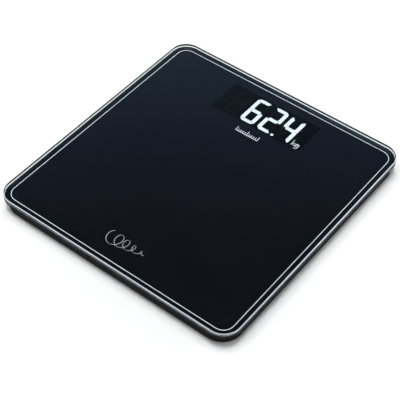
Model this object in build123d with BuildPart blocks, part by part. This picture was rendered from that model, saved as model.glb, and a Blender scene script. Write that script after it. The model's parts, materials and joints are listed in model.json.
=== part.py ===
"""Digital bathroom scale with a glass platform, four load-cell feet and a lit display.

Frame: origin under the middle of the scale on the floor, +Z up, +Y towards the display end,
+X along the reading direction of the digits. Millimetres.
"""

import math
import os

from build123d import *

os.makedirs("parts", exist_ok=True)

# ---------------------------------------------------------------- driving dimensions
plate_width = 320.0
plate_depth = 333.0
plate_corner = 21.5
glass_thickness = 8.0
glass_arris = 1.0
overall_height = 22.5
glass_bottom = overall_height - glass_thickness

print_thickness = 0.3
print_edge = 1.4
line_inset = 8.5
line_width = 0.8
line_thickness = 0.1
foam_thickness = 0.5
print_bottom = glass_bottom - print_thickness

tray_inset = 2.3
tray_corner = 24.5
tray_bottom = 1.8
tray_floor = 2.0
tray_wall = 2.0
tray_edge_round = 1.9
tray_rim = print_bottom - foam_thickness
floor_top = tray_bottom + tray_floor
tray_width = plate_width - 2 * tray_inset
tray_depth = plate_depth - 2 * tray_inset

rib_thickness = 1.6
rib_top = 9.4
rib_x = 75.0
rib_rows = (-90.0, -20.0)
post_radius = 6.0
post_places = [
    (-rib_x, -90), (0, -90), (rib_x, -90),
    (-rib_x, -20), (0, -20), (rib_x, -20),
    (-140, -20), (140, -20), (-140, 45), (140, 45),
    (-83, 148), (83, 148), (0, -148),
]

foot_x = 122.5
foot_y = 129.0
foot_radius = 20.0
foot_clearance = 0.3
foot_travel = 0.5
foot_bottom = 1.2
foot_flange_radius = 22.0
foot_flange_thickness = 1.5
pad_radius = 15.2
pad_pocket = 1.4
pad_groove = 0.4

holder_size = (56.0, 52.0)
holder_corner = 8.0
holder_top = 7.7
holder_roof = 1.5
cell_size = (40.0, 36.0)
cell_thickness = 2.0
cell_top = holder_top + cell_thickness
tongue_width = 12.0
slot_width = 2.5
screw_radius = 1.25
lead_radius = 0.9
lead_z = cell_top + 1.0

window_size = (124.0, 48.0)
window_centre = (0.0, 120.7)
digit_height = 43.2
digit_width = 19.8
stroke = 4.9
segment_gap = 0.35
digit_round = 6.0
waist_round = 3.4
inner_round = 2.0
digit_base = 99.1
digit_lefts = (-48.9, -24.2, 0.4, 24.8)
shown_digits = ("", "acdefg", "abged", "fgbc")
point_left = 20.9
point_size = 3.4
board_thickness = 1.2
board_bottom = 8.5
board_top = board_bottom + board_thickness
face_bottom = 13.0
face_top = 14.1

main_board_size = (84.0, 26.0)
main_board_y = 75.0
button_centre = (20.0, main_board_y)
button_radius = 4.2
button_travel = 0.5

battery_centre_y = 38.0
battery_inside = (49.5, 35.0)
battery_wall = 1.5
cell_radius = 5.25
aaa_length = 44.5
aaa_nub = 0.8
aaa_pitch = 11.2
aaa_z = print_bottom - 0.05 - cell_radius
contact_thickness = 0.4
dimple = 0.6
spring_wire = 0.3
door_thickness = 1.6
door_gap = 0.3
hinge_pin_radius = 0.6
hinge_clearance = 0.05


# ---------------------------------------------------------------- helpers
def save(part, name):
    """Label a finished piece and write its STEP file."""
    part.label = name
    export_step(part, f"parts/{name}.step")


corners = {
    "front_left": (-1, -1),
    "front_right": (1, -1),
    "back_left": (-1, 1),
    "back_right": (1, 1),
}


# ---------------------------------------------------------------- glass and what is printed on it
with BuildPart() as glass_platform:
    with BuildSketch(Plane.XY.offset(glass_bottom)):
        RectangleRounded(plate_width, plate_depth, plate_corner)
    extrude(amount=glass_thickness)
    rims = glass_platform.faces().filter_by(Axis.Z).edges()
    chamfer(rims, length=glass_arris)
save(glass_platform.part, "glass_platform")

line_outer = line_inset - line_width / 2
line_inner = line_inset + line_width / 2
with BuildPart() as border_line:
    with BuildSketch(Plane.XY.offset(glass_bottom - line_thickness)):
        RectangleRounded(
            plate_width - 2 * line_outer, plate_depth - 2 * line_outer, plate_corner - line_outer
        )
        RectangleRounded(
            plate_width - 2 * line_inner,
            plate_depth - 2 * line_inner,
            plate_corner - line_inner,
            mode=Mode.SUBTRACT,
        )
    extrude(amount=line_thickness)
save(border_line.part, "border_line")

with BuildPart() as back_print:
    with BuildSketch(Plane.XY.offset(print_bottom)):
        RectangleRounded(
            plate_width - 2 * print_edge, plate_depth - 2 * print_edge, plate_corner - print_edge
        )
        with Locations(window_centre):
            Rectangle(*window_size, mode=Mode.SUBTRACT)
    extrude(amount=print_thickness)
    add(border_line.part, mode=Mode.SUBTRACT)
save(back_print.part, "back_print")

with BuildPart() as display_filter:
    with BuildSketch(Plane.XY.offset(print_bottom)):
        with Locations(window_centre):
            Rectangle(*window_size)
    extrude(amount=print_thickness)
save(display_filter.part, "display_filter")


# ---------------------------------------------------------------- display
def digit_outline(left):
    """Stroke area of one digit: two stacked loops with rounded corners and openings."""
    middle = digit_base + digit_height / 2
    x = left + digit_width / 2
    loop_height = (digit_height + stroke) / 2
    low = (x, digit_base + loop_height / 2)
    high = (x, digit_base + digit_height - loop_height / 2)
    with BuildSketch() as outline:
        with Locations(low, high):
            RectangleRounded(digit_width, loop_height, waist_round)
        with Locations((x, middle)):
            RectangleRounded(digit_width, digit_height, digit_round, mode=Mode.INTERSECT)
        with Locations(low, high):
            RectangleRounded(
                digit_width - 2 * stroke, loop_height - 2 * stroke, inner_round, mode=Mode.SUBTRACT
            )
    return outline.sketch


def segment(letter, left):
    """One of the seven segments a to g, mitred to its neighbours with a thin gap."""
    x0 = left
    x1 = left + digit_width
    y0 = digit_base
    y1 = digit_base + digit_height
    ym = (y0 + y1) / 2
    half = stroke / 2
    reach = half + inner_round
    deep = stroke + inner_round
    shapes = {
        "a": [(x0, y1), (x1, y1), (x1 - deep, y1 - deep), (x0 + deep, y1 - deep)],
        "b": [(x1, y1), (x1, ym), (x1 - half, ym), (x1 - deep, ym + reach), (x1 - deep, y1 - deep)],
        "c": [(x1, y0), (x1, ym), (x1 - half, ym), (x1 - deep, ym - reach), (x1 - deep, y0 + deep)],
        "d": [(x0, y0), (x1, y0), (x1 - deep, y0 + deep), (x0 + deep, y0 + deep)],
        "e": [(x0, y0), (x0, ym), (x0 + half, ym), (x0 + deep, ym - reach), (x0 + deep, y0 + deep)],
        "f": [(x0, y1), (x0, ym), (x0 + half, ym), (x0 + deep, ym + reach), (x0 + deep, y1 - deep)],
        "g": [
            (x0 + half, ym), (x0 + deep, ym + reach), (x1 - deep, ym + reach),
            (x1 - half, ym), (x1 - deep, ym - reach), (x0 + deep, ym - reach),
        ],
    }
    with BuildSketch() as piece:
        with BuildLine():
            Polyline(*shapes[letter], close=True)
        make_face()
        offset(amount=-segment_gap / 2, kind=Kind.INTERSECTION, mode=Mode.REPLACE)
        add(digit_outline(left), mode=Mode.INTERSECT)
    return piece.sketch


def unit_letters(open_bowl=True):
    """The small unit mark, k and g, drawn with round-ended strokes."""
    base = 101.2
    tall = 9.4
    small = 5.6
    pen = 1.05
    k_x = 48.9
    g_x = 55.6
    bowl = small / 2
    with BuildSketch() as letters:
        with BuildLine() as k_stem:
            Line((k_x, base + pen / 2), (k_x, base + tall - pen / 2))
        trace(k_stem.line, pen)
        with BuildLine() as k_arm:
            Line((k_x, base + small * 0.45), (k_x + 3.4, base + small - pen / 2))
        trace(k_arm.line, pen)
        with BuildLine() as k_leg:
            Line((k_x + 0.9, base + small * 0.55), (k_x + 3.6, base + pen / 2))
        trace(k_leg.line, pen)
        with Locations((g_x, base + bowl)):
            Circle(bowl)
            if open_bowl:
                Circle(bowl - pen, mode=Mode.SUBTRACT)
        with BuildLine() as g_stem:
            stem = Line((g_x + bowl - pen / 2, base + small), (g_x + bowl - pen / 2, base))
            TangentArc(stem @ 1, (g_x - bowl + pen, base - 1.6), tangent=stem % 1)
        trace(g_stem.line, pen)
    return letters.sketch


lit = []
unlit = []
for left, shown in zip(digit_lefts, shown_digits):
    for letter in "abcdefg":
        (lit if letter in shown else unlit).append((letter, left))


def segment_block(places, bottom, top):
    """Segments of the given letters and digits, extruded between two heights."""
    with BuildPart() as block:
        for letter, left in places:
            with BuildSketch(Plane.XY.offset(bottom)):
                add(segment(letter, left))
            extrude(amount=top - bottom)
    return block.part


def marks_block(bottom, top, open_bowl=True):
    """The decimal point and the unit mark, extruded between two heights."""
    with BuildPart() as block:
        with BuildSketch(Plane.XY.offset(bottom)):
            with Locations((point_left + point_size / 2, digit_base + point_size / 2)):
                RectangleRounded(point_size, point_size, 0.8)
            add(unit_letters(open_bowl))
        extrude(amount=top - bottom)
    return block.part


all_segments = lit + unlit

with BuildPart() as lit_segments:
    add(segment_block(lit, face_bottom, face_top))
    add(marks_block(face_bottom, face_top))
save(lit_segments.part, "lit_segments")

with BuildPart() as unlit_segments:
    add(segment_block(unlit, face_bottom, face_top))
save(unlit_segments.part, "unlit_segments")

face_size = (126.0, 52.0)
with BuildPart() as display_face:
    with BuildSketch(Plane.XY.offset(face_bottom)):
        with Locations(window_centre):
            RectangleRounded(*face_size, 1.5)
    extrude(amount=face_top - face_bottom)
    add(segment_block(all_segments, face_bottom, face_top), mode=Mode.SUBTRACT)
    add(marks_block(face_bottom, face_top, open_bowl=False), mode=Mode.SUBTRACT)
save(display_face.part, "display_face")

light_box_size = (122.0, 50.0)
with BuildPart() as display_light_box:
    with BuildSketch(Plane.XY.offset(board_top)):
        with Locations(window_centre):
            RectangleRounded(*light_box_size, 1.0)
    extrude(amount=face_bottom - board_top)
    add(segment_block(all_segments, board_top, face_bottom), mode=Mode.SUBTRACT)
    add(marks_block(board_top, face_bottom, open_bowl=False), mode=Mode.SUBTRACT)
save(display_light_box.part, "display_light_box")

display_board_size = (138.0, 58.0)
display_screw_grid = (131.0, 44.0)
with BuildPart() as display_board:
    with BuildSketch(Plane.XY.offset(board_bottom)):
        with Locations(window_centre):
            RectangleRounded(*display_board_size, 2.0)
            with GridLocations(*display_screw_grid, 2, 2):
                Circle(screw_radius, mode=Mode.SUBTRACT)
    extrude(amount=board_thickness)
save(display_board.part, "display_board")

led_size = (2.0, 1.25, 0.8)
led_places = []
for left in digit_lefts:
    centre_x = left + digit_width / 2
    for row in (0, 1, 2):
        led_places.append((centre_x, digit_base + stroke / 2 + row * (digit_height - stroke) / 2))
    for side in (stroke / 2, digit_width - stroke / 2):
        for row in (0.27, 0.73):
            led_places.append((left + side, digit_base + digit_height * row))
with BuildPart() as display_leds:
    with BuildSketch(Plane.XY.offset(board_top)):
        with Locations(*led_places):
            Rectangle(led_size[0], led_size[1])
    extrude(amount=led_size[2])
save(display_leds.part, "display_leds")

# ---------------------------------------------------------------- base tray
battery_outside = (battery_inside[0] + 2 * battery_wall, battery_inside[1] + 2 * battery_wall)
board_screw_grid = (76.0, 18.0)
holder_screw_x = 24.0
holder_screw_y = 22.0
pilot_depth = 1.5
hinge_y = battery_centre_y + battery_inside[1] / 2 - door_gap - door_thickness / 2
hinge_z = tray_bottom + door_thickness / 2
hinge_pin_length = 1.6
boss_radius = 3.0
button_guide = button_radius + 0.2

with BuildPart() as base_tray:
    with BuildSketch(Plane.XY.offset(tray_bottom)):
        RectangleRounded(tray_width, tray_depth, tray_corner)
    extrude(amount=tray_rim - tray_bottom)
    fillet(base_tray.faces().sort_by(Axis.Z)[0].edges(), tray_edge_round)
    with BuildSketch(Plane.XY.offset(floor_top)):
        RectangleRounded(
            tray_width - 2 * tray_wall, tray_depth - 2 * tray_wall, tray_corner - tray_wall
        )
    extrude(amount=tray_rim - floor_top, mode=Mode.SUBTRACT)
    # stiffening ribs: two along the depth, two across
    with BuildSketch(Plane.XY.offset(floor_top)):
        for x in (-rib_x, rib_x):
            with Locations((x, -41.0)):
                Rectangle(rib_thickness, 238.0)
        for y in rib_rows:
            with Locations((0, y)):
                Rectangle(tray_width - 2 * tray_wall, rib_thickness)
    extrude(amount=rib_top - floor_top)
    # posts that carry the glass through the foam pads
    with BuildSketch(Plane.XY.offset(floor_top)):
        with Locations(*post_places):
            Circle(post_radius)
    extrude(amount=tray_rim - floor_top)
    # battery box walls
    with BuildSketch(Plane.XY.offset(floor_top)):
        with Locations((0, battery_centre_y)):
            Rectangle(*battery_outside)
    extrude(amount=tray_rim - floor_top)
    with BuildSketch(Plane.XY.offset(tray_bottom)):
        with Locations((0, battery_centre_y)):
            Rectangle(*battery_inside)
    extrude(amount=tray_rim - tray_bottom, mode=Mode.SUBTRACT)
    # screw bosses of the two boards
    with BuildSketch(Plane.XY.offset(floor_top)):
        with Locations((0, main_board_y)):
            with GridLocations(*board_screw_grid, 2, 2):
                Circle(boss_radius)
                Circle(screw_radius, mode=Mode.SUBTRACT)
        with Locations(window_centre):
            with GridLocations(*display_screw_grid, 2, 2):
                Circle(boss_radius)
                Circle(screw_radius, mode=Mode.SUBTRACT)
    extrude(amount=board_bottom - floor_top)
    # foot openings and the pilot holes round them
    with BuildSketch(Plane.XY.offset(tray_bottom)):
        with GridLocations(2 * foot_x, 2 * foot_y, 2, 2):
            Circle(foot_radius + foot_clearance)
        with Locations(button_centre):
            Circle(button_guide)
    extrude(amount=tray_floor, mode=Mode.SUBTRACT)
    with BuildSketch(Plane.XY.offset(floor_top - pilot_depth)):
        for side_x, side_y in corners.values():
            for way in (-1, 1):
                with Locations(
                    (side_x * foot_x + way * holder_screw_x, side_y * (foot_y + way * holder_screw_y))
                ):
                    Circle(screw_radius)
    extrude(amount=pilot_depth, mode=Mode.SUBTRACT)
    # sockets for the door's hinge pins
    with BuildSketch(Plane.YZ):
        with Locations((hinge_y, hinge_z)):
            Circle(hinge_pin_radius + hinge_clearance)
    extrude(amount=battery_inside[0] / 2 + hinge_pin_length, both=True, mode=Mode.SUBTRACT)
    # thumb recess in front of the door's latch
    thumb_y = battery_centre_y - battery_inside[1] / 2
    with BuildSketch(Plane.XY.offset(tray_bottom)):
        with Locations((0, thumb_y)):
            SlotOverall(22.0, 12.0)
    extrude(amount=0.8, mode=Mode.SUBTRACT)
save(base_tray.part, "base_tray")

# ---------------------------------------------------------------- foam between tray and glass
gasket_margin = 0.2
with BuildPart() as rim_gasket:
    with BuildSketch(Plane.XY.offset(tray_rim)):
        RectangleRounded(
            tray_width - 2 * gasket_margin, tray_depth - 2 * gasket_margin, tray_corner - gasket_margin
        )
        inner_edge = tray_wall - gasket_margin
        RectangleRounded(
            tray_width - 2 * inner_edge,
            tray_depth - 2 * inner_edge,
            tray_corner - inner_edge,
            mode=Mode.SUBTRACT,
        )
    extrude(amount=foam_thickness)
save(rim_gasket.part, "rim_gasket")

with BuildPart() as foam_pads:
    with BuildSketch(Plane.XY.offset(tray_rim)):
        with Locations(*post_places):
            Circle(post_radius - 0.5)
    extrude(amount=foam_thickness)
save(foam_pads.part, "foam_pads")

# ---------------------------------------------------------------- feet, load cells and holders
pad_top = foot_bottom + pad_pocket
flange_top = floor_top + foot_flange_thickness
boss_top = holder_top - foot_travel - 0.2
boss_round = 0.8
foot_boss_radius = 4.5
cavity_radius = foot_flange_radius + 1.2
cell_screw_x = 14.25
cell_hole_radius = 1.6
gauge_size = (14.0, 5.5)
gauge_height = 2.0
gauge_y = cell_size[1] / 2 - gauge_size[1] / 2 - 0.5
slot_top = 11.0
slot_bottom = -13.5

for place, (side_x, side_y) in corners.items():
    centre = (side_x * foot_x, side_y * foot_y)
    inward = -side_y

    with BuildPart() as foot_cup:
        with BuildSketch(Plane.XY.offset(foot_bottom)):
            with Locations(centre):
                Circle(foot_radius)
        extrude(amount=flange_top - foot_bottom)
        fillet(foot_cup.faces().sort_by(Axis.Z)[0].edges(), 1.0)
        with BuildSketch(Plane.XY.offset(floor_top)):
            with Locations(centre):
                Circle(foot_flange_radius)
        extrude(amount=foot_flange_thickness)
        with BuildSketch(Plane.XY.offset(foot_bottom)):
            with Locations(centre):
                Circle(pad_radius + foot_clearance)
        extrude(amount=pad_pocket, mode=Mode.SUBTRACT)
        with BuildSketch(Plane.XY.offset(flange_top)):
            with Locations(centre):
                Circle(foot_boss_radius)
        extrude(amount=boss_top - flange_top)
        fillet(foot_cup.faces().sort_by(Axis.Z)[-1].edges(), boss_round)
    save(foot_cup.part, f"foot_cup_{place}")

    with BuildPart() as foot_pad:
        with BuildSketch(Plane.XY):
            with Locations(centre):
                Circle(pad_radius)
        extrude(amount=pad_top)
        chamfer(foot_pad.faces().sort_by(Axis.Z)[0].edges(), 0.5)
        with BuildSketch(Plane.XY):
            with Locations(centre):
                for ring in (6.0, 10.5):
                    Circle(ring + 0.6)
                    Circle(ring - 0.6, mode=Mode.SUBTRACT)
                    Circle(ring - 3.3)
                Circle(3.3)
                Circle(3.3, mode=Mode.SUBTRACT)
        extrude(amount=pad_groove, mode=Mode.SUBTRACT)
    save(foot_pad.part, f"foot_pad_{place}")

    with BuildPart() as holder:
        with BuildSketch(Plane.XY.offset(floor_top)):
            with Locations(centre):
                RectangleRounded(*holder_size, holder_corner)
        extrude(amount=holder_top - floor_top)
        with BuildSketch(Plane.XY.offset(floor_top)):
            with Locations(centre):
                Circle(cavity_radius)
        extrude(amount=holder_top - holder_roof - floor_top, mode=Mode.SUBTRACT)
        with BuildSketch(Plane.XY.offset(floor_top)):
            with Locations(centre):
                Circle(foot_boss_radius + 3.0)
                with Locations((-cell_screw_x, 0), (cell_screw_x, 0)):
                    Circle(screw_radius)
                for way in (-1, 1):
                    with Locations((way * holder_screw_x, side_y * way * holder_screw_y)):
                        Circle(screw_radius)
        extrude(amount=holder_top - floor_top, mode=Mode.SUBTRACT)
    save(holder.part, f"load_cell_holder_{place}")

    with BuildPart() as load_cell:
        with BuildSketch(Plane.XY.offset(holder_top)):
            with Locations(centre):
                RectangleRounded(*cell_size, 5.0)
                with Locations((-cell_screw_x, 0), (cell_screw_x, 0)):
                    Circle(cell_hole_radius, mode=Mode.SUBTRACT)
                slot_middle = inward * (slot_top + slot_bottom) / 2
                with Locations((0, slot_middle)):
                    Rectangle(tongue_width + 2 * slot_width, slot_top - slot_bottom, mode=Mode.SUBTRACT)
                tongue_end = slot_bottom + slot_width
                with Locations((0, inward * (slot_top + tongue_end) / 2)):
                    Rectangle(tongue_width, slot_top - tongue_end)
        extrude(amount=cell_thickness)
    save(load_cell.part, f"load_cell_{place}")

    with BuildPart() as strain_gauge:
        with BuildSketch(Plane.XY.offset(cell_top)):
            with Locations(centre):
                with Locations((0, inward * gauge_y)):
                    RectangleRounded(*gauge_size, 1.5)
        extrude(amount=gauge_height)
        fillet(strain_gauge.faces().sort_by(Axis.Z)[-1].edges(), 0.6)
    save(strain_gauge.part, f"strain_gauge_{place}")

# ---------------------------------------------------------------- main board and what it carries
socket_size = (6.0, 4.6, 2.6)
socket_x = 38.5
socket_rows = (main_board_y - 3.0, main_board_y + 3.0)
with BuildPart() as main_board:
    with BuildSketch(Plane.XY.offset(board_bottom)):
        with Locations((0, main_board_y)):
            RectangleRounded(*main_board_size, 1.5)
            with GridLocations(*board_screw_grid, 2, 2):
                Circle(screw_radius, mode=Mode.SUBTRACT)
    extrude(amount=board_thickness)
save(main_board.part, "main_board")

with BuildPart() as controller_chip:
    with BuildSketch(Plane.XY.offset(board_top)):
        with Locations((-10, main_board_y)):
            Circle(7.0)
    extrude(amount=1.5)
    fillet(controller_chip.faces().sort_by(Axis.Z)[-1].edges(), 1.2)
save(controller_chip.part, "controller_chip")

with BuildPart() as lead_sockets:
    with BuildSketch(Plane.XY.offset(board_top)):
        for y in socket_rows:
            with Locations((-socket_x, y), (socket_x, y)):
                Rectangle(socket_size[0], socket_size[1])
    extrude(amount=socket_size[2])
save(lead_sockets.part, "lead_sockets")

flex_y = (85.5, 94.0)
with BuildPart() as display_flex:
    with BuildSketch(Plane.XY.offset(board_top)):
        with Locations((10, sum(flex_y) / 2)):
            Rectangle(28.0, flex_y[1] - flex_y[0])
    extrude(amount=0.3)
save(display_flex.part, "display_flex")

# ---------------------------------------------------------------- unit button and its switch
switch_bottom = 5.2
plunger_radius = 1.6
plunger_top = 6.6
with BuildPart() as tact_switch:
    with BuildSketch(Plane.XY.offset(switch_bottom)):
        with Locations(button_centre):
            RectangleRounded(6.0, 6.0, 0.6)
    extrude(amount=board_bottom - switch_bottom)
    with BuildSketch(Plane.XY.offset(switch_bottom)):
        with Locations(button_centre):
            Circle(plunger_radius + 0.1)
    extrude(amount=plunger_top + button_travel + 0.2 - switch_bottom, mode=Mode.SUBTRACT)
save(tact_switch.part, "tact_switch")

button_flange = 5.4
button_flange_top = floor_top + 0.8
with BuildPart() as unit_button:
    with BuildSketch(Plane.XY.offset(tray_bottom + 0.1)):
        with Locations(button_centre):
            Circle(button_radius)
    extrude(amount=button_flange_top - tray_bottom - 0.1)
    fillet(unit_button.faces().sort_by(Axis.Z)[0].edges(), 0.6)
    with BuildSketch(Plane.XY.offset(floor_top)):
        with Locations(button_centre):
            Circle(button_flange)
    extrude(amount=button_flange_top - floor_top)
save(unit_button.part, "unit_button")

with BuildPart() as switch_plunger:
    with BuildSketch(Plane.XY.offset(button_flange_top)):
        with Locations(button_centre):
            Circle(plunger_radius)
    extrude(amount=plunger_top - button_flange_top)
save(switch_plunger.part, "switch_plunger")

# ---------------------------------------------------------------- cells, contacts and door
cell_ways = (1, -1, 1)
contact_wall = battery_inside[0] / 2
cell_rows = [battery_centre_y + step * aaa_pitch for step in (-1, 0, 1)]
plus_face = contact_wall - contact_thickness - dimple
for number, (way, y) in enumerate(zip(cell_ways, cell_rows), start=1):
    with BuildPart() as aaa_cell:
        with BuildSketch(Plane.YZ.offset(way * (plus_face - aaa_length))):
            with Locations((y, aaa_z)):
                Circle(cell_radius)
        extrude(amount=way * (aaa_length - aaa_nub))
        fillet(aaa_cell.edges().filter_by(GeomType.CIRCLE), 0.5)
        with BuildSketch(Plane.YZ.offset(way * (plus_face - aaa_nub))):
            with Locations((y, aaa_z)):
                Circle(1.9)
        extrude(amount=way * aaa_nub)
    save(aaa_cell.part, f"aaa_cell_{number}")

with BuildPart() as battery_plates:
    for way, y in zip(cell_ways, cell_rows):
        for end in (-1, 1):
            with BuildSketch(Plane.YZ.offset(end * (contact_wall - contact_thickness))):
                with Locations((y, aaa_z)):
                    RectangleRounded(8.6, 8.6, 1.0)
            extrude(amount=end * contact_thickness)
        with BuildSketch(Plane.YZ.offset(way * plus_face)):
            with Locations((y, aaa_z)):
                Circle(1.6)
        extrude(amount=way * dimple)
save(battery_plates.part, "battery_plates")

spring_gap = battery_inside[0] - aaa_length - 2 * contact_thickness - dimple
spring_rise = spring_gap - 2 * spring_wire - 0.1
spring_base_radius = 3.2
spring_cone = 25.0
spring_turns = 3
springs = []
for way, y in zip(cell_ways, cell_rows):
    start_x = -way * (contact_wall - contact_thickness - spring_wire)
    with BuildPart() as spring:
        with BuildLine() as coil:
            Helix(
                pitch=spring_rise / spring_turns,
                height=spring_rise,
                radius=spring_base_radius,
                center=(start_x, y, aaa_z),
                direction=(way, 0, 0),
                cone_angle=-spring_cone,
            )
        with BuildSketch(Plane(origin=coil.line @ 0, z_dir=coil.line % 0)):
            Circle(spring_wire)
        sweep(path=coil.line)
    springs.append(spring.part)
battery_springs = Compound(children=springs)
save(battery_springs, "battery_springs")

door_x = battery_inside[0] / 2 - door_gap
door_free_y = battery_centre_y - battery_inside[1] / 2 + 2 * door_gap
door_round = door_thickness / 2
tongue_slot = 0.8
tongue_half = 6.0
tongue_length = 8.0
with BuildPart() as battery_door:
    with BuildSketch(Plane.YZ.offset(-door_x)):
        with BuildLine():
            Line((door_free_y, tray_bottom), (hinge_y, tray_bottom))
            ThreePointArc(
                (hinge_y, tray_bottom), (hinge_y + door_round, hinge_z), (hinge_y, hinge_z + door_round)
            )
            Line((hinge_y, hinge_z + door_round), (door_free_y, hinge_z + door_round))
            Line((door_free_y, hinge_z + door_round), (door_free_y, tray_bottom))
        make_face()
    extrude(amount=2 * door_x)
    with BuildSketch(Plane.YZ.offset(-door_x - hinge_pin_length)):
        with Locations((hinge_y, hinge_z)):
            Circle(hinge_pin_radius)
    extrude(amount=2 * (door_x + hinge_pin_length))
    # latch tongue between two slots, with its catch along the free edge
    with BuildSketch(Plane.XY.offset(tray_bottom)):
        for side in (-1, 1):
            with Locations((side * (tongue_half + tongue_slot / 2), door_free_y + tongue_length / 2)):
                Rectangle(tongue_slot, tongue_length)
    extrude(amount=door_thickness, mode=Mode.SUBTRACT)
    with BuildSketch(Plane.XY.offset(hinge_z)):
        with Locations((0, door_free_y - 0.15)):
            Rectangle(2 * tongue_half, 0.3)
    extrude(amount=door_round)
    # finger grooves on the outside
    with BuildSketch(Plane.XY.offset(tray_bottom)):
        with Locations((0, door_free_y + tongue_length + 5.0)):
            with GridLocations(1, 2.4, 1, 4):
                SlotOverall(18.0, 1.0)
    extrude(amount=0.5, mode=Mode.SUBTRACT)
save(battery_door.part, "battery_door")

# ---------------------------------------------------------------- leads
def arc_radii(points):
    """Largest arc radii that the runs on each side of every corner leave room for."""
    radii = []
    for before, corner, after in zip(points, points[1:], points[2:]):
        run_in = Vector(*corner) - Vector(*before)
        run_out = Vector(*after) - Vector(*corner)
        half_turn = math.radians(run_in.get_angle(run_out)) / 2
        radii.append(0.45 * min(run_in.length, run_out.length) / math.tan(half_turn))
    return radii


def lead(points, radius):
    """A round lead along a route of straight runs joined by tangent arcs."""
    radii = arc_radii(points)
    with BuildPart() as tube:
        with BuildLine() as route:
            if radii:
                FilletPolyline(*points, radius=radii)
            else:
                Line(*points)
        with BuildSketch(Plane(origin=route.line @ 0, z_dir=route.line % 0)):
            Circle(radius)
        sweep(path=route.line)
    if radii:
        print("lead arcs, mm:", [round(radius, 1) for radius in radii])
    return tube.part


gauge_edge = foot_y - gauge_y - gauge_size[1] / 2
socket_edge = socket_x + socket_size[0] / 2
for place, (side_x, side_y) in corners.items():
    if side_y < 0:
        plan = [
            (foot_x, -gauge_edge), (foot_x, -78), (98, -50), (90, -14), (84, 28), (66, socket_rows[0]),
            (socket_edge, socket_rows[0]),
        ]
    else:
        plan = [(foot_x, gauge_edge), (foot_x, 94), (98, socket_rows[1]), (socket_edge, socket_rows[1])]
    route = [(side_x * x, y, lead_z) for x, y in plan]
    save(lead(route, lead_radius), f"load_cell_lead_{place}")

battery_lead_radius = 0.6
battery_lead_z = board_bottom + board_thickness / 2
battery_edge = battery_centre_y + battery_outside[1] / 2
board_edge = main_board_y - main_board_size[1] / 2
battery_wires = [
    lead([(x, battery_edge, battery_lead_z), (x, board_edge, battery_lead_z)], battery_lead_radius)
    for x in (-20.0, -16.0)
]
save(Compound(children=battery_wires), "battery_leads")


# ---------------------------------------------------------------- screws
def screws(places, shank_bottom, seat_height, head_radius, head_height):
    """Identical pan-head screws with a cross recess, one solid at each place."""
    with BuildPart() as group:
        with BuildSketch(Plane.XY.offset(shank_bottom)):
            with Locations(*places):
                Circle(screw_radius)
        extrude(amount=seat_height - shank_bottom)
        with BuildSketch(Plane.XY.offset(seat_height)):
            with Locations(*places):
                Circle(head_radius)
        extrude(amount=head_height)
        fillet(group.faces().group_by(Axis.Z)[-1].edges(), head_height * 0.45)
        with BuildSketch(Plane.XY.offset(seat_height + head_height * 0.5)):
            with Locations(*places):
                Rectangle(head_radius, 0.5)
                Rectangle(0.5, head_radius)
        extrude(amount=head_height, mode=Mode.SUBTRACT)
    return group.part


cell_screw_places = []
holder_screw_places = []
for side_x, side_y in corners.values():
    for way in (-1, 1):
        cell_screw_places.append((side_x * foot_x + way * cell_screw_x, side_y * foot_y))
        holder_screw_places.append(
            (side_x * foot_x + way * holder_screw_x, side_y * (foot_y + way * holder_screw_y))
        )
board_screw_places = []
display_screw_places = []
for way_x in (-1, 1):
    for way_y in (-1, 1):
        board_screw_places.append(
            (way_x * board_screw_grid[0] / 2, main_board_y + way_y * board_screw_grid[1] / 2)
        )
        display_screw_places.append(
            (way_x * display_screw_grid[0] / 2, window_centre[1] + way_y * display_screw_grid[1] / 2)
        )
roof_bottom = holder_top - holder_roof
save(screws(cell_screw_places, roof_bottom, cell_top, 2.6, 1.5), "load_cell_screws")
save(screws(holder_screw_places, floor_top - pilot_depth + 0.1, holder_top, 2.4, 1.4), "holder_screws")
save(screws(board_screw_places, floor_top + 0.5, board_top, 2.0, 1.2), "board_screws")
save(screws(display_screw_places, floor_top + 0.5, board_top, 2.0, 1.2), "display_screws")
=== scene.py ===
"""Digital bathroom scale: dark-backed glass platform, lit digits, slim black tray. Metres."""

import json
import math

import bmesh
import bpy
from mathutils import Matrix, Vector


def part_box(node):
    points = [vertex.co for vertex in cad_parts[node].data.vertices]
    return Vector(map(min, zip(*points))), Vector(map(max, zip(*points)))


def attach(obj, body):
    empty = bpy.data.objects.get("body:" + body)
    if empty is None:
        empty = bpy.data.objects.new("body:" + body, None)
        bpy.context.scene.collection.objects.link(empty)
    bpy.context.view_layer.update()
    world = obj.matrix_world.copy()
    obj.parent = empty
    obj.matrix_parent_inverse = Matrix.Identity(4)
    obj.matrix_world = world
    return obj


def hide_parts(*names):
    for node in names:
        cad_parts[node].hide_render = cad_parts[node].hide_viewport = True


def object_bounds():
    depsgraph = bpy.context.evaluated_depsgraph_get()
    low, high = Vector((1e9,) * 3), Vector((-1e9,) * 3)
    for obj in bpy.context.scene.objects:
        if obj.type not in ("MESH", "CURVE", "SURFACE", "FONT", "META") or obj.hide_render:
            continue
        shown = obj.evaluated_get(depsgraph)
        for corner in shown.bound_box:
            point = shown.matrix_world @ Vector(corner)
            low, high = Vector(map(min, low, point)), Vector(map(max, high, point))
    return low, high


bl_info = {
    "name": "Digital Bathroom Scale",
    "version": (1, 0, 0),
    "blender": (4, 5, 0),
    "location": "View3D > Sidebar > Scale",
    "description": "Builds the looks of a glass bathroom scale around its packed frame",
    "category": "Add Mesh",
}

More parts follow.
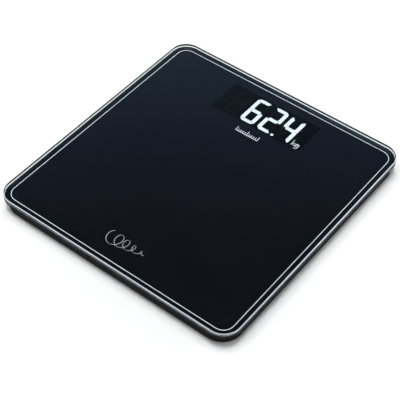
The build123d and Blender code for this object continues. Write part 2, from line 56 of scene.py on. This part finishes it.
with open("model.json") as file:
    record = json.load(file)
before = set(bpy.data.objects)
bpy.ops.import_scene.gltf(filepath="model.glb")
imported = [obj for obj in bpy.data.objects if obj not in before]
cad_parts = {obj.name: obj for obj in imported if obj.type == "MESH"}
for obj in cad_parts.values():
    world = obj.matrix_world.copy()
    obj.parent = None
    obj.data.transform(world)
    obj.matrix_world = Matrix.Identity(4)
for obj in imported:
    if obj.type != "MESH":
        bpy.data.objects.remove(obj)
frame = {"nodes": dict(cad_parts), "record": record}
cad_low, cad_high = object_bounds()
MM = 0.001
FLOAT_GLASS_IOR = 1.52
SEALED_RIM_GLOSS = 0.25
UNIT_MARK_LEFT = 48.0 * MM
COPPER_BAND_START = 9.0 * MM
PIN_PITCH_MM = 2.54

# Ruler ornament: its base line lies RULER_DROP below its middle, and every fifth tick is long.
RULER_DROP = 2.6 * MM
RULER_TICKS = 10
LONG_TICK = 6.4 * MM
SHORT_TICK = 3.6 * MM

# Flourish ornament: a row of loops that shrink, crowd together and rise along its length.
FLOURISH_STEPS = 300
FLOURISH_LOOPS = 4.5
FLOURISH_START = 0.48
FLOURISH_RISE = 2.0 * MM
FIRST_TURN = 0.6 * math.pi
LOOP_CROWDING = 0.95
LOOP_SHRINK = 8.6 * MM
LOOP_SHRINK_POWER = 0.8
LAST_LOOP = 1.0 * MM
LOOP_NARROWNESS = 0.8
PEN_UPSTROKE = 0.24
PEN_SWELL = 0.3
PEN_FADE = 0.3

# How far the ornaments sit above the underside of the glass.
ORNAMENT_LIFT = 0.03 * MM

FLOOR_HALF_WIDTH = 6.0
SENSOR_WIDTH_MM = 36.0

# Studio lamps: name, direction round the object and height above the floor in degrees,
# distance, width and height in metres, power in watts.
LAMPS = (
    ("high_key", 262.0, 82.0, 3.0, 2.0, 1.8, 86.0),
    ("front_strip", -29.0, 27.0, 1.6, 0.55, 0.20, 2.2),
    ("right_strip", 126.7, 18.0, 1.6, 0.50, 0.20, 5.0),
)
# This lamp shows in no first reflection. The ink behind the glass still mirrors it from straight above.
UNMIRRORED_LAMP = "high_key"


# ---------------------------------------------------------------- small helpers
def linear(hex_colour):
    """Linear RGBA from an sRGB hex value such as "#1a2230"."""
    digits = hex_colour.lstrip("#")
    channels = [int(digits[i:i + 2], 16) / 255 for i in (0, 2, 4)]
    curve = [c / 12.92 if c <= 0.04045 else ((c + 0.055) / 1.055) ** 2.4 for c in channels]
    return (*curve, 1.0)


def add_node(tree, kind, settings=None, **inputs):
    """Add a shader node, set its properties, and set or link its inputs by name."""
    node = tree.nodes.new(kind)
    for name, value in (settings or {}).items():
        setattr(node, name, value)
    for name, value in inputs.items():
        key = int(name[1:]) if name[:1] == "_" else name.replace("_", " ")
        if isinstance(value, bpy.types.NodeSocket):
            tree.links.new(value, node.inputs[key])
        else:
            node.inputs[key].default_value = value
    return node


def new_material(name):
    """An empty node material, its tree and its output node."""
    material = bpy.data.materials.new(name)
    material.use_nodes = True
    tree = material.node_tree
    tree.nodes.clear()
    return material, tree, tree.nodes.new("ShaderNodeOutputMaterial")


def grain(tree, spacing_mm, detail=2.0, stretch=(1.0, 1.0, 1.0)):
    """Noise in the object's own coordinates, with features about spacing_mm apart."""
    place = add_node(tree, "ShaderNodeTexCoord")
    drawn = add_node(tree, "ShaderNodeMapping", Vector=place.outputs["Object"], Scale=stretch)
    noise = add_node(
        tree, "ShaderNodeTexNoise",
        Vector=drawn.outputs["Vector"], Scale=1 / (spacing_mm * MM), Detail=detail,
    )
    return noise.outputs["Fac"]


def spread(tree, value, low, high, start=0.3, end=0.7):
    """Map a 0 to 1 pattern to a range."""
    mapped = add_node(
        tree, "ShaderNodeMapRange", Value=value, From_Min=start, From_Max=end, To_Min=low, To_Max=high
    )
    return mapped.outputs["Result"]


def two_tone(tree, value, first, second):
    """Blend two hex colours by a 0 to 1 pattern."""
    return add_node(
        tree, "ShaderNodeMix", {"data_type": "RGBA"}, Factor=value, _6=linear(first), _7=linear(second)
    ).outputs[2]


def math_node(tree, operation, first, second=0.0):
    """One step of arithmetic on shader values."""
    return add_node(tree, "ShaderNodeMath", {"operation": operation}, _0=first, _1=second).outputs[0]


def along(tree, axis):
    """The object's own coordinate along X, Y or Z, in metres."""
    place = add_node(tree, "ShaderNodeTexCoord")
    return add_node(tree, "ShaderNodeSeparateXYZ", Vector=place.outputs["Object"]).outputs[axis]


def stripes(tree, axis, pitch_mm, share):
    """1 on bands across an axis, pitch_mm apart and a share of a pitch wide, else 0."""
    turns = math_node(tree, "MULTIPLY", along(tree, axis), 1 / (pitch_mm * MM))
    return math_node(tree, "LESS_THAN", math_node(tree, "FRACT", turns), share)


def principled(tree, output, colour, rough, relief=None, relief_mm=0.0, **shader):
    """A Principled surface joined to the output, with an optional relief."""
    bsdf = add_node(tree, "ShaderNodeBsdfPrincipled", Base_Color=colour, Roughness=rough, **shader)
    if relief:
        bump = add_node(tree, "ShaderNodeBump", Height=relief, Strength=1.0, Distance=relief_mm * MM)
        tree.links.new(bump.outputs["Normal"], bsdf.inputs["Normal"])
    tree.links.new(bsdf.outputs["BSDF"], output.inputs["Surface"])


def surface(name, colour, mottle, spacing_mm, rough, relief_mm=0.0, relief_spacing_mm=1.0, **shader):
    """A moulded, cast, rolled or coated surface: two close tones, uneven gloss and a fine relief."""
    material, tree, output = new_material(name)
    stretch = shader.pop("stretch", (1.0, 1.0, 1.0))
    tone = spread(tree, grain(tree, spacing_mm, 4.0, stretch), 0.0, 1.0)
    gloss = spread(tree, grain(tree, spacing_mm * 0.6, 3.0, stretch), rough[0], rough[1])
    relief = grain(tree, relief_spacing_mm, 3.0, stretch) if relief_mm else None
    principled(tree, output, two_tone(tree, tone, colour, mottle), gloss, relief, relief_mm, **shader)
    return material


# ---------------------------------------------------------------- materials: the platform
def toughened_glass():
    """Clear float glass, toughened: the eye gets sharp reflections and a faint green body."""
    material, tree, output = new_material("toughened_float_glass")
    body = two_tone(tree, grain(tree, 80.0), "#f3faf7", "#f5fbf9")
    bsdf = add_node(
        tree, "ShaderNodeBsdfPrincipled",
        Base_Color=body, Roughness=0.0, IOR=FLOAT_GLASS_IOR, Transmission_Weight=1.0,
    )
    path = add_node(tree, "ShaderNodeLightPath")
    clear = add_node(tree, "ShaderNodeBsdfTransparent", Color=linear("#eef5f3"))
    mix = add_node(
        tree, "ShaderNodeMixShader",
        _0=path.outputs["Is Shadow Ray"], _1=bsdf.outputs["BSDF"], _2=clear.outputs["BSDF"],
    )
    tree.links.new(mix.outputs["Shader"], output.inputs["Surface"])
    return material


def sealed_rim():
    """Rim between the arrises, sealed: the eye looks into the dark print, with a faint gloss.

    From inside the glass it mirrors in full, as a polished rim does.
    """
    material, tree, output = new_material("sealed_glass_rim")
    tint = two_tone(tree, grain(tree, 25.0), "#dfe9ee", "#e6eff3")
    gloss = spread(tree, grain(tree, 8.0), 0.02, 0.05)
    inside = add_node(
        tree, "ShaderNodeBsdfRefraction", Color=tint, Roughness=gloss, IOR=FLOAT_GLASS_IOR
    )
    glass = add_node(tree, "ShaderNodeBsdfGlass", Color=tint, Roughness=gloss, IOR=FLOAT_GLASS_IOR)
    side = add_node(tree, "ShaderNodeNewGeometry")
    share = math_node(tree, "MAXIMUM", side.outputs["Backfacing"], SEALED_RIM_GLOSS)
    mix = add_node(
        tree, "ShaderNodeMixShader", _0=share, _1=inside.outputs["BSDF"], _2=glass.outputs["BSDF"]
    )
    tree.links.new(mix.outputs["Shader"], output.inputs["Surface"])
    return material


def ground_arris():
    """Edge bevel ground with a fine wheel: the eye gets a pale satin line that glows from any side."""
    return surface(
        "satin_ground_glass_edge", "#d3dde6", "#dfe7ee", 2.0, (0.3, 0.4), 0.004, 0.15,
        IOR=FLOAT_GLASS_IOR, Transmission_Weight=0.25,
    )


def fired_ink():
    """Ceramic ink fired on the glass: the eye gets a blue-black second mirror behind the clear one."""
    return surface(
        "fired_ceramic_ink", "#0a0a0d", "#0c0c10", 60.0, (0.015, 0.03),
        Specular_IOR_Level=1.0, Specular_Tint=linear("#c6dcff"),
    )


def silver_ink():
    """Screen-printed silver-grey ink: the eye gets a pale line, a little uneven from the mesh."""
    return surface(
        "screen_printed_silver_ink", "#dcdfe8", "#cfd2dc", 1.2, (0.5, 0.6), Specular_IOR_Level=0.0
    )


def smoked_film():
    """Smoked polyester film on the window: the eye gets a darker field that lets the digits through."""
    material, tree, output = new_material("smoked_polyester_film")
    haze = spread(tree, grain(tree, 40.0, 2.0), 0.0, 1.0)
    clear = add_node(tree, "ShaderNodeBsdfTransparent", Color=two_tone(tree, haze, "#c9ccd0", "#cfd2d6"))
    tree.links.new(clear.outputs["BSDF"], output.inputs["Surface"])
    return material


# ---------------------------------------------------------------- materials: the display
def lit_diffuser():
    """Milky acrylic diffuser with the light on: the eye gets an even white, dimmer in the unit mark."""
    material, tree, output = new_material("milky_acrylic_diffuser_lit")
    unit_mark = math_node(tree, "GREATER_THAN", along(tree, "X"), UNIT_MARK_LEFT)
    share = spread(tree, unit_mark, 1.0, 0.5, 0.0, 1.0)
    glow = math_node(tree, "MULTIPLY", spread(tree, grain(tree, 6.0, 1.0), 2.15, 2.35), share)
    colour = two_tone(tree, grain(tree, 12.0), "#f2f3f5", "#f6f7f9")
    principled(tree, output, colour, 0.5, Emission_Color=linear("#fffdfc"), Emission_Strength=glow)
    return material


def unlit_diffuser():
    """Smoke-tinted diffuser with the light off: the eye gets a near-black that only just shows."""
    return surface(
        "smoke_tinted_diffuser_unlit", "#101215", "#131519", 8.0, (0.5, 0.6), Specular_IOR_Level=0.2
    )


def black_face():
    """Matt black moulded mask round the digits: the eye gets no gloss at all."""
    return surface(
        "matt_moulded_mask", "#08080a", "#0a0a0c", 12.0, (0.75, 0.85), 0.01, 0.3, Specular_IOR_Level=0.1
    )


def white_plastic():
    """White moulded reflector plastic: the eye gets a clean, faintly warm white."""
    return surface("white_moulded_reflector", "#ecebe6", "#e6e5df", 15.0, (0.4, 0.5), 0.01, 0.5)


def circuit_board():
    """Green solder mask over etched copper: the eye gets tracks as raised, lighter lines."""
    material, tree, output = new_material("green_solder_mask")
    rows = stripes(tree, "Y", PIN_PITCH_MM, 0.3)
    links = stripes(tree, "X", 3 * PIN_PITCH_MM, 0.08)
    patchy_links = math_node(tree, "MULTIPLY", links, spread(tree, grain(tree, 9.0), 0.0, 1.0))
    lines = math_node(tree, "MAXIMUM", rows, patchy_links)
    broken = math_node(tree, "MULTIPLY", lines, spread(tree, grain(tree, 14.0), 0.0, 1.0, 0.42, 0.5))
    gloss = spread(tree, grain(tree, 5.0), 0.28, 0.4)
    principled(tree, output, two_tone(tree, broken, "#0d4a26", "#1c6b3a"), gloss, broken, 0.035)
    return material


def led_body():
    """Phosphor-filled clear resin: the eye gets a small yellow block with a wet gloss."""
    return surface(
        "phosphor_filled_resin", "#e8d469", "#dfc957", 0.5, (0.15, 0.25), Subsurface_Weight=0.2
    )


def flex_film():
    """Polyimide film over etched copper: the eye gets amber with fine darker tracks."""
    material, tree, output = new_material("amber_polyimide_flex")
    tracks = stripes(tree, "X", 1.0, 0.55)
    colour = two_tone(tree, tracks, "#a8641c", "#c67a2c")
    principled(tree, output, colour, spread(tree, grain(tree, 4.0), 0.2, 0.3), tracks, 0.02)
    return material


# ---------------------------------------------------------------- materials: the base
def tray_plastic():
    """Black ABS from a spark-eroded mould: the eye gets a dark matt skin with a fine even grain."""
    return surface(
        "spark_textured_abs", "#040405", "#060607", 9.0, (0.5, 0.62), 0.02, 0.35, Specular_IOR_Level=0.07
    )


def foot_plastic():
    """Black ABS from a smoother mould than the tray: the eye gets a slightly glossier cup."""
    return surface(
        "satin_moulded_abs", "#131314", "#171718", 7.0, (0.38, 0.5), 0.01, 0.4, Specular_IOR_Level=0.35
    )


def pad_rubber():
    """Moulded silicone rubber: the eye gets a soft matt black with a trace of dust."""
    return surface(
        "moulded_silicone_rubber", "#101010", "#1a1a1a", 2.5, (0.7, 0.85), 0.015, 0.25,
        Specular_IOR_Level=0.25,
    )


def holder_plastic():
    """Glass-filled nylon: the eye gets charcoal with short pale fibre flecks in the flow direction."""
    return surface(
        "glass_filled_nylon", "#17171a", "#242428", 1.2, (0.42, 0.58), 0.01, 0.3,
        stretch=(0.25, 1.0, 1.0), Specular_IOR_Level=0.35,
    )


def button_plastic():
    """Grey moulded ABS button cap: the eye gets a plain mid grey against the black tray."""
    return surface("grey_moulded_abs", "#505153", "#58595b", 3.0, (0.35, 0.45), 0.01, 0.3)


def foam():
    """Die-cut acrylic foam tape: the eye gets a dull black cut edge full of tiny open cells, with painted
    shade darkening the pit of each cell.
    """
    material, tree, output = new_material("closed_cell_acrylic_foam")
    place = add_node(tree, "ShaderNodeTexCoord")
    cells = add_node(tree, "ShaderNodeTexVoronoi", Vector=place.outputs["Object"], Scale=1 / (0.35 * MM))
    pit_depth_and_shade = cells.outputs["Distance"]
    # Painted shade: the colour gets darker towards the bottom of each cell's pit, from the same values that
    # give the relief.
    colour = two_tone(tree, pit_depth_and_shade, "#0e0e0e", "#1c1c1c")
    principled(tree, output, colour, spread(tree, grain(tree, 2.0), 0.85, 0.95), pit_depth_and_shade, 0.06)
    return material


def load_cell_steel():
    """Spring steel, blanked and zinc plated: the eye gets a grey metal with rolling marks along it."""
    return surface(
        "zinc_plated_spring_steel", "#a3a5a8", "#8f9296", 1.6, (0.28, 0.42), 0.004, 0.4,
        stretch=(1.0, 0.06, 1.0), Metallic=1.0,
    )


def screw_steel():
    """Bright zinc on cold-headed steel: the eye gets a bluish, slightly hazy metal."""
    return surface("bright_zinc_screw", "#b3b8be", "#9fa6ae", 0.8, (0.22, 0.34), 0.003, 0.2, Metallic=1.0)


def contact_nickel():
    """Nickel-plated spring strip and wire: the eye gets a warm bright metal with drawing lines."""
    return surface(
        "nickel_plated_contact", "#bdb6a8", "#aaa292", 1.0, (0.18, 0.3), 0.002, 0.15,
        stretch=(1.0, 1.0, 0.1), Metallic=1.0,
    )


def gauge_silicone():
    """White silicone potted by hand over the gauge: the eye gets a soft milky lump."""
    return surface(
        "potted_white_silicone", "#e6e5e0", "#dcdbd4", 2.2, (0.3, 0.45), 0.05, 1.5, Subsurface_Weight=0.15
    )


def chip_epoxy():
    """Black epoxy: the eye gets a hard dark resin with an orange-peel gloss."""
    return surface("black_epoxy_resin", "#0c0c0d", "#121213", 1.5, (0.2, 0.4), 0.02, 0.9)


def lead_jacket():
    """Extruded PVC lead: the eye gets a black skin with faint flow lines along the wire."""
    return surface("extruded_pvc_jacket", "#121212", "#1b1b1b", 0.8, (0.35, 0.5), 0.005, 0.3)


def cell_jacket(way):
    """Printed shrink sleeve on a dry cell: the eye gets dark grey, copper at the plus end."""
    material, tree, output = new_material("printed_shrink_sleeve_" + ("plus_x" if way > 0 else "minus_x"))
    towards_plus = math_node(tree, "MULTIPLY", along(tree, "X"), way)
    band = math_node(tree, "GREATER_THAN", towards_plus, COPPER_BAND_START)
    tone = math_node(tree, "MULTIPLY", spread(tree, grain(tree, 3.0), 0.9, 1.0), band)
    colour = two_tone(tree, tone, "#16181d", "#b06a3a")
    principled(tree, output, colour, spread(tree, grain(tree, 5.0), 0.2, 0.32), grain(tree, 1.5), 0.01)
    return material


# Which finish each of the record's material slots wears.
FINISHES = {
    "back_print_ink": fired_ink,
    "line_ink": silver_ink,
    "smoked_film": smoked_film,
    "lit_diffuser": lit_diffuser,
    "unlit_diffuser": unlit_diffuser,
    "black_face": black_face,
    "white_plastic": white_plastic,
    "circuit_board": circuit_board,
    "led_body": led_body,
    "tray_plastic": tray_plastic,
    "foam": foam,
    "chip_epoxy": chip_epoxy,
    "flex_film": flex_film,
    "button_plastic": button_plastic,
    "contact_nickel": contact_nickel,
    "lead_jacket": lead_jacket,
    "screw_steel": screw_steel,
    "foot_plastic": foot_plastic,
    "pad_rubber": pad_rubber,
    "holder_plastic": holder_plastic,
    "load_cell_steel": load_cell_steel,
    "gauge_silicone": gauge_silicone,
}
CELL_WAYS = {"aaa_cell_1": 1.0, "aaa_cell_2": -1.0, "aaa_cell_3": 1.0}


# ---------------------------------------------------------------- mesh helpers
def mesh_object(name, build, materials, body):
    """Make a mesh object from a bmesh, give it its finish and slot, and fix it to a body."""
    mesh = bpy.data.meshes.new(name)
    build.to_mesh(mesh)
    build.free()
    piece = bpy.data.objects.new(name, mesh)
    bpy.context.scene.collection.objects.link(piece)
    for material in materials:
        mesh.materials.append(material)
    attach(piece, body)
    return piece


def rounded_loop(half_x, half_y, radius, steps):
    """Points of a rounded rectangle, counter-clockwise, with steps on each quarter turn."""
    points = []
    for quarter, (side_x, side_y) in enumerate(((1, 1), (-1, 1), (-1, -1), (1, -1))):
        for step in range(steps + 1):
            turn = math.radians(90 * (quarter + step / steps))
            x = side_x * (half_x - radius) + radius * math.cos(turn)
            y = side_y * (half_y - radius) + radius * math.sin(turn)
            points.append((x, y))
    return points


def stacked_plate(half_x, half_y, radius, profile, finishes, steps=32):
    """A solid plate whose rim follows profile, a list of (inset, height).

    The rings stay crisp and the corners smooth. finishes gives the material index of each
    band of the rim, from the bottom up.
    """
    build = bmesh.new()
    rings = []
    for inset, height in profile:
        loop = rounded_loop(half_x - inset, half_y - inset, radius - inset, steps)
        rings.append([build.verts.new((x, y, height)) for x, y in loop])
    for band, (lower, upper) in enumerate(zip(rings, rings[1:])):
        for i, corner in enumerate(lower):
            j = (i + 1) % len(lower)
            face = build.faces.new((corner, lower[j], upper[j], upper[i]))
            face.smooth = True
            face.material_index = finishes[band]
    build.faces.new(list(reversed(rings[0])))
    build.faces.new(rings[-1])
    for ring in rings:
        for i, corner in enumerate(ring):
            build.edges.get((corner, ring[(i + 1) % len(ring)])).smooth = False
    return build


def ribbon(build, points, widths, height):
    """A flat band of ink that follows points, with a width at each of them."""
    sides = []
    for i, point in enumerate(points):
        before = points[max(i - 1, 0)]
        after = points[min(i + 1, len(points) - 1)]
        run = Vector((after[0] - before[0], after[1] - before[1])).normalized()
        across = Vector((-run.y, run.x)) * widths[i] / 2
        left = build.verts.new((point[0] + across.x, point[1] + across.y, height))
        right = build.verts.new((point[0] - across.x, point[1] - across.y, height))
        sides.append((left, right))
    for (left, right), (next_left, next_right) in zip(sides, sides[1:]):
        build.faces.new((left, right, next_right, next_left))


def ruler_print(sizes, height):
    """A base line with upright ticks, long at both ends and in the middle."""
    build = bmesh.new()
    half = sizes.ruler_width / 2
    base = sizes.ruler_y - RULER_DROP
    ribbon(build, [(-half, base), (half, base)], [sizes.pen] * 2, height)
    for tick in range(RULER_TICKS + 1):
        x = (half - sizes.pen / 2) * (2 * tick / RULER_TICKS - 1)
        tall = LONG_TICK if tick % (RULER_TICKS // 2) == 0 else SHORT_TICK
        ribbon(build, [(x, base), (x, base + tall)], [sizes.pen] * 2, height)
    return build


def flourish_print(sizes, height):
    """A pen stroke of shrinking loops, wider on its level runs and finer towards its end."""
    build = bmesh.new()
    points, widths = [], []
    for step in range(FLOURISH_STEPS + 1):
        share = step / FLOURISH_STEPS
        size = LOOP_SHRINK * (1 - share) ** LOOP_SHRINK_POWER + LAST_LOOP
        turn = 2 * math.pi * FLOURISH_LOOPS * share ** LOOP_CROWDING + FIRST_TURN
        x = sizes.flourish_width * (share - FLOURISH_START) + LOOP_NARROWNESS * size * math.cos(turn)
        y = sizes.flourish_y + size * math.sin(turn) + FLOURISH_RISE * (share - 0.5)
        points.append((x, y))
        swell = PEN_UPSTROKE + PEN_SWELL * abs(math.cos(turn))
        widths.append(sizes.pen * swell * (1 - PEN_FADE * share))
    ribbon(build, points, widths, height)
    return build


# ---------------------------------------------------------------- stage
def lay_floor(scene):
    """A white painted floor: the eye gets an even ground with a soft contact shadow."""
    build = bmesh.new()
    bmesh.ops.create_grid(build, x_segments=4, y_segments=4, size=FLOOR_HALF_WIDTH)
    mesh = bpy.data.meshes.new("floor")
    build.to_mesh(mesh)
    build.free()
    floor = bpy.data.objects.new("floor", mesh)
    scene.collection.objects.link(floor)
    mesh.materials.append(
        surface("painted_floor", "#fafafa", "#f8f8f8", 400.0, (0.85, 0.9), Specular_IOR_Level=0.1)
    )


def light_sky(scene, stage):
    """Level bands of studio light: the eye gets them as the shades mirrored in the glass."""
    world = bpy.data.worlds.new("studio")
    scene.world = world
    world.use_nodes = True
    tree = world.node_tree
    background = tree.nodes["Background"]
    place = add_node(tree, "ShaderNodeTexCoord")
    height = add_node(tree, "ShaderNodeSeparateXYZ", Vector=place.outputs["Generated"])
    ramp = add_node(tree, "ShaderNodeValToRGB", Fac=height.outputs["Z"])
    elements = ramp.color_ramp.elements
    while len(elements) > 1:
        elements.remove(elements[-1])
    for index, (stop, colour) in enumerate(zip(stage.sky_stops, stage.sky_colours.split())):
        element = elements.new(stop) if index else elements[0]
        element.position = stop
        element.color = linear(colour)
    tree.links.new(ramp.outputs["Color"], background.inputs["Color"])
    background.inputs["Strength"].default_value = stage.sky_strength


def hang_lamps(scene):
    """The key lamp and two low strips: the eye gets bright edges and a soft shadow."""
    for name, azimuth, elevation, distance, width, tall, power in LAMPS:
        light = bpy.data.lights.new(name, "AREA")
        light.shape = "RECTANGLE"
        light.size = width
        light.size_y = tall
        light.energy = power
        lamp = bpy.data.objects.new(name, light)
        away = direction(math.radians(azimuth), math.radians(elevation))
        lamp.location = away * distance
        lamp.rotation_euler = away.to_track_quat("Z", "Y").to_euler()
        scene.collection.objects.link(lamp)
        lamp.visible_glossy = name != UNMIRRORED_LAMP


def set_camera(scene, stage):
    """The camera on its own direction, height and tilt, aimed at a point on the glass."""
    camera = bpy.data.objects.new("camera", bpy.data.cameras.new("camera"))
    scene.collection.objects.link(camera)
    camera.data.sensor_width = SENSOR_WIDTH_MM
    camera.data.lens = stage.lens
    back = direction(stage.azimuth, stage.elevation)
    level = (-back).to_track_quat("-Z", "Y")
    camera.rotation_mode = "QUATERNION"
    camera.rotation_quaternion = Matrix.Rotation(stage.roll, 3, back).to_quaternion() @ level
    camera.location = Vector((*stage.target, cad_high.z)) + back * stage.distance
    scene.camera = camera


def direction(azimuth, elevation):
    """Unit vector from the object, with azimuth from the front edge towards the right edge."""
    level = math.cos(elevation)
    return Vector((math.sin(azimuth) * level, -math.cos(azimuth) * level, math.sin(elevation)))


# ---------------------------------------------------------------- settings
class GlassSettings(bpy.types.PropertyGroup):
    """Sizes of the glass platform's edge work."""

    arris: bpy.props.FloatProperty(
        name="Arris", description="Width of the ground edge bevel", default=0.9 * MM, unit="LENGTH"
    )
    corner: bpy.props.FloatProperty(
        name="Corner", description="Corner radius of the platform", default=21.5 * MM, unit="LENGTH"
    )
    contact: bpy.props.FloatProperty(
        name="Contact", description="How deep the print sits in the glass, so that the two are in contact",
        default=0.12 * MM, unit="LENGTH",
    )


class MarkSettings(bpy.types.PropertyGroup):
    """Places and sizes of the two plain printed ornaments."""

    ruler_y: bpy.props.FloatProperty(
        name="Ruler place", description="Middle of the ruler mark, towards the display end",
        default=84.0 * MM, unit="LENGTH",
    )
    ruler_width: bpy.props.FloatProperty(
        name="Ruler width", description="Length of the ruler mark", default=31.0 * MM, unit="LENGTH"
    )
    flourish_y: bpy.props.FloatProperty(
        name="Flourish place", description="Middle of the flourish, towards the display end",
        default=-131.0 * MM, unit="LENGTH",
    )
    flourish_width: bpy.props.FloatProperty(
        name="Flourish width", description="Length of the flourish", default=44.0 * MM, unit="LENGTH"
    )
    pen: bpy.props.FloatProperty(
        name="Pen", description="Widest stroke of the ornaments", default=0.9 * MM, unit="LENGTH"
    )


class StageSettings(bpy.types.PropertyGroup):
    """Camera and light of the stage."""

    azimuth: bpy.props.FloatProperty(
        name="Azimuth", description="Camera direction round the object",
        default=math.radians(37.17), subtype="ANGLE",
    )
    elevation: bpy.props.FloatProperty(
        name="Elevation", description="Camera height above the horizon",
        default=math.radians(47.84), subtype="ANGLE",
    )
    roll: bpy.props.FloatProperty(
        name="Roll", description="Camera tilt about its own axis",
        default=math.radians(0.995), subtype="ANGLE",
    )
    distance: bpy.props.FloatProperty(
        name="Distance", description="Camera distance from the point it looks at",
        default=1.2865, unit="LENGTH",
    )
    target: bpy.props.FloatVectorProperty(
        name="Target", description="Point on the glass that the camera looks at, from the middle",
        default=(22.74 * MM, -34.75 * MM), size=2,
    )
    lens: bpy.props.FloatProperty(name="Lens", description="Focal length on a 36 mm sensor", default=105.85)
    sky_stops: bpy.props.FloatVectorProperty(
        name="Sky stops", description="Sines of the heights of the studio's light bands",
        default=(0.0, 0.12, 0.30, 0.605, 0.66, 0.705, 0.765, 1.0), size=8,
    )
    sky_colours: bpy.props.StringProperty(
        name="Sky colours", description="sRGB hex colours of the bands",
        default="#fcfbfa #f6f4f3 #bbb7b5 #a6a3a3 #566b7d #3e4b5c #2a2d36 #121212",
    )
    sky_strength: bpy.props.FloatProperty(
        name="Sky strength", description="Brightness of the studio's light bands", default=1.0
    )


# ---------------------------------------------------------------- operators
class SCALE_OT_glass(bpy.types.Operator):
    """Build the glass platform with its ground arrises"""

    bl_idname = "scale.glass"
    bl_label = "Glass platform"

    def execute(self, context):
        sizes = context.scene.scale_glass
        low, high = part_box("glass_platform")
        bottom = low.z - sizes.contact
        profile = [
            (sizes.arris, bottom),
            (0.0, bottom + sizes.arris),
            (0.0, high.z - sizes.arris),
            (sizes.arris, high.z),
        ]
        build = stacked_plate(high.x, high.y, sizes.corner, profile, finishes=(0, 1, 2))
        materials = (toughened_glass(), sealed_rim(), ground_arris())
        piece = mesh_object("platform_glass", build, materials, "platform")
        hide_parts("glass_platform")
        return {"FINISHED"}


class SCALE_OT_marks(bpy.types.Operator):
    """Print the two plain ornaments on the back of the glass"""

    bl_idname = "scale.marks"
    bl_label = "Printed ornaments"

    def execute(self, context):
        sizes = context.scene.scale_marks
        ink = silver_ink()
        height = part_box("glass_platform")[0].z + ORNAMENT_LIFT
        ruler = ruler_print(sizes, height)
        mesh_object("ruler_ornament", ruler, (ink,), "platform")
        flourish = flourish_print(sizes, height)
        mesh_object("flourish_ornament", flourish, (ink,), "platform")
        return {"FINISHED"}


class SCALE_OT_finishes(bpy.types.Operator):
    """Give every carried-over part its own finish"""

    bl_idname = "scale.finishes"
    bl_label = "Finishes"

    def execute(self, context):
        made = {slot: build() for slot, build in FINISHES.items()}
        slots = {row["node"]: row["material_slot"] for row in frame["record"]["subparts"]}
        for name, part in frame["nodes"].items():
            if slots[name] == "clear_glass":
                continue
            part.data.materials.clear()
            if name in CELL_WAYS:
                part.data.materials.append(cell_jacket(CELL_WAYS[name]))
            else:
                part.data.materials.append(made[slots[name]])
        return {"FINISHED"}


class SCALE_OT_stage(bpy.types.Operator):
    """Set the floor, the soft studio light and the camera"""

    bl_idname = "scale.stage"
    bl_label = "Stage"

    def execute(self, context):
        scene = context.scene
        scene.view_settings.view_transform = "Standard"
        lay_floor(scene)
        light_sky(scene, scene.scale_stage)
        hang_lamps(scene)
        set_camera(scene, scene.scale_stage)
        return {"FINISHED"}


class SCALE_PT_panel(bpy.types.Panel):
    """Lists the settings and the pieces of the scale"""

    bl_idname = "SCALE_PT_panel"
    bl_label = "Bathroom scale"
    bl_space_type = "VIEW_3D"
    bl_region_type = "UI"
    bl_category = "Scale"

    def draw(self, context):
        for name in SETTINGS:
            group = getattr(context.scene, name)
            box = self.layout.box()
            for field in group.__annotations__:
                box.prop(group, field)
        for operator in OPERATORS:
            self.layout.operator(operator.bl_idname)


SETTINGS = {"scale_glass": GlassSettings, "scale_marks": MarkSettings, "scale_stage": StageSettings}
OPERATORS = (SCALE_OT_glass, SCALE_OT_marks, SCALE_OT_finishes, SCALE_OT_stage)


def register():
    for name, group in SETTINGS.items():
        bpy.utils.register_class(group)
        setattr(bpy.types.Scene, name, bpy.props.PointerProperty(type=group))
    for operator in OPERATORS:
        bpy.utils.register_class(operator)
    bpy.utils.register_class(SCALE_PT_panel)


def unregister():
    bpy.utils.unregister_class(SCALE_PT_panel)
    for operator in reversed(OPERATORS):
        bpy.utils.unregister_class(operator)
    for name, group in SETTINGS.items():
        delattr(bpy.types.Scene, name)
        bpy.utils.unregister_class(group)


def main():
    register()
    for operator in OPERATORS:
        family, action = operator.bl_idname.split(".")
        getattr(getattr(bpy.ops, family), action)()


if __name__ == "__main__":
    main()
